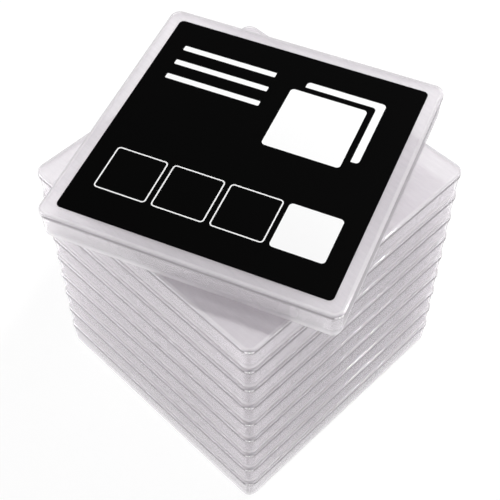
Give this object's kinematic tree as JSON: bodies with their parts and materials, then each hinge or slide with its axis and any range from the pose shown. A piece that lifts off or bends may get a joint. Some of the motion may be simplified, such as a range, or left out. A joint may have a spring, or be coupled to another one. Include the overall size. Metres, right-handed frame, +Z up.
{
  "type": "paper storage box set",
  "caption": "Pile of clear square shallow boxes for craft paper, each a drafted tray with a lift-off lid, the top box turned on the pile and labelled.",
  "frame": {"origin": "middle of the pile's foot, on the surface it stands on", "axes": "+Z up the pile; X and Y along the sides of the nine aligned boxes; the top box is turned 21.87 degrees anticlockwise about +Z"},
  "size_m": [0.2862, 0.2862, 0.2502],
  "materials": {
    "clear_tray": "clear moulded polypropylene, slightly hazy, smooth",
    "clear_lid": "clear moulded polypropylene, slightly hazy, smooth",
    "label_film": "matte printed black film with plain white panels"
  },
  "bodies": {
    "tray_01": {"tray_01": "clear_tray"},
    "lid_01": {"lid_01": "clear_lid"},
    "tray_02": {"tray_02": "clear_tray"},
    "lid_02": {"lid_02": "clear_lid"},
    "tray_03": {"tray_03": "clear_tray"},
    "lid_03": {"lid_03": "clear_lid"},
    "tray_04": {"tray_04": "clear_tray"},
    "lid_04": {"lid_04": "clear_lid"},
    "tray_05": {"tray_05": "clear_tray"},
    "lid_05": {"lid_05": "clear_lid"},
    "tray_06": {"tray_06": "clear_tray"},
    "lid_06": {"lid_06": "clear_lid"},
    "tray_07": {"tray_07": "clear_tray"},
    "lid_07": {"lid_07": "clear_lid"},
    "tray_08": {"tray_08": "clear_tray"},
    "lid_08": {"lid_08": "clear_lid"},
    "tray_09": {"tray_09": "clear_tray"},
    "lid_09": {"lid_09": "clear_lid"},
    "tray_10": {"tray_10": "clear_tray"},
    "lid_10": {"lid_10": "clear_lid", "label": "label_film"}
  },
  "joints": [
    {"name": "lid_01_lift", "type": "slide", "parent": "tray_01", "child": "lid_01", "axis": [0, 0, 1], "range_m": [0, 0.04]},
    {"name": "box_02_lift", "type": "slide", "parent": "lid_01", "child": "tray_02", "axis": [0, 0, 1], "range_m": [0, 0.03]},
    {"name": "lid_02_lift", "type": "slide", "parent": "tray_02", "child": "lid_02", "axis": [0, 0, 1], "range_m": [0, 0.04]},
    {"name": "box_03_lift", "type": "slide", "parent": "lid_02", "child": "tray_03", "axis": [0, 0, 1], "range_m": [0, 0.03]},
    {"name": "lid_03_lift", "type": "slide", "parent": "tray_03", "child": "lid_03", "axis": [0, 0, 1], "range_m": [0, 0.04]},
    {"name": "box_04_lift", "type": "slide", "parent": "lid_03", "child": "tray_04", "axis": [0, 0, 1], "range_m": [0, 0.03]},
    {"name": "lid_04_lift", "type": "slide", "parent": "tray_04", "child": "lid_04", "axis": [0, 0, 1], "range_m": [0, 0.04]},
    {"name": "box_05_lift", "type": "slide", "parent": "lid_04", "child": "tray_05", "axis": [0, 0, 1], "range_m": [0, 0.03]},
    {"name": "lid_05_lift", "type": "slide", "parent": "tray_05", "child": "lid_05", "axis": [0, 0, 1], "range_m": [0, 0.04]},
    {"name": "box_06_lift", "type": "slide", "parent": "lid_05", "child": "tray_06", "axis": [0, 0, 1], "range_m": [0, 0.03]},
    {"name": "lid_06_lift", "type": "slide", "parent": "tray_06", "child": "lid_06", "axis": [0, 0, 1], "range_m": [0, 0.04]},
    {"name": "box_07_lift", "type": "slide", "parent": "lid_06", "child": "tray_07", "axis": [0, 0, 1], "range_m": [0, 0.03]},
    {"name": "lid_07_lift", "type": "slide", "parent": "tray_07", "child": "lid_07", "axis": [0, 0, 1], "range_m": [0, 0.04]},
    {"name": "box_08_lift", "type": "slide", "parent": "lid_07", "child": "tray_08", "axis": [0, 0, 1], "range_m": [0, 0.03]},
    {"name": "lid_08_lift", "type": "slide", "parent": "tray_08", "child": "lid_08", "axis": [0, 0, 1], "range_m": [0, 0.04]},
    {"name": "box_09_lift", "type": "slide", "parent": "lid_08", "child": "tray_09", "axis": [0, 0, 1], "range_m": [0, 0.03]},
    {"name": "lid_09_lift", "type": "slide", "parent": "tray_09", "child": "lid_09", "axis": [0, 0, 1], "range_m": [0, 0.04]},
    {"name": "box_10_swivel", "type": "hinge", "parent": "lid_09", "child": "tray_10", "pos_m": [0, 0, 0.225], "axis": [0, 0, 1], "continuous": true},
    {"name": "lid_10_lift", "type": "slide", "parent": "tray_10", "child": "lid_10", "axis": [0, 0, 1], "range_m": [0, 0.04]}
  ]
}
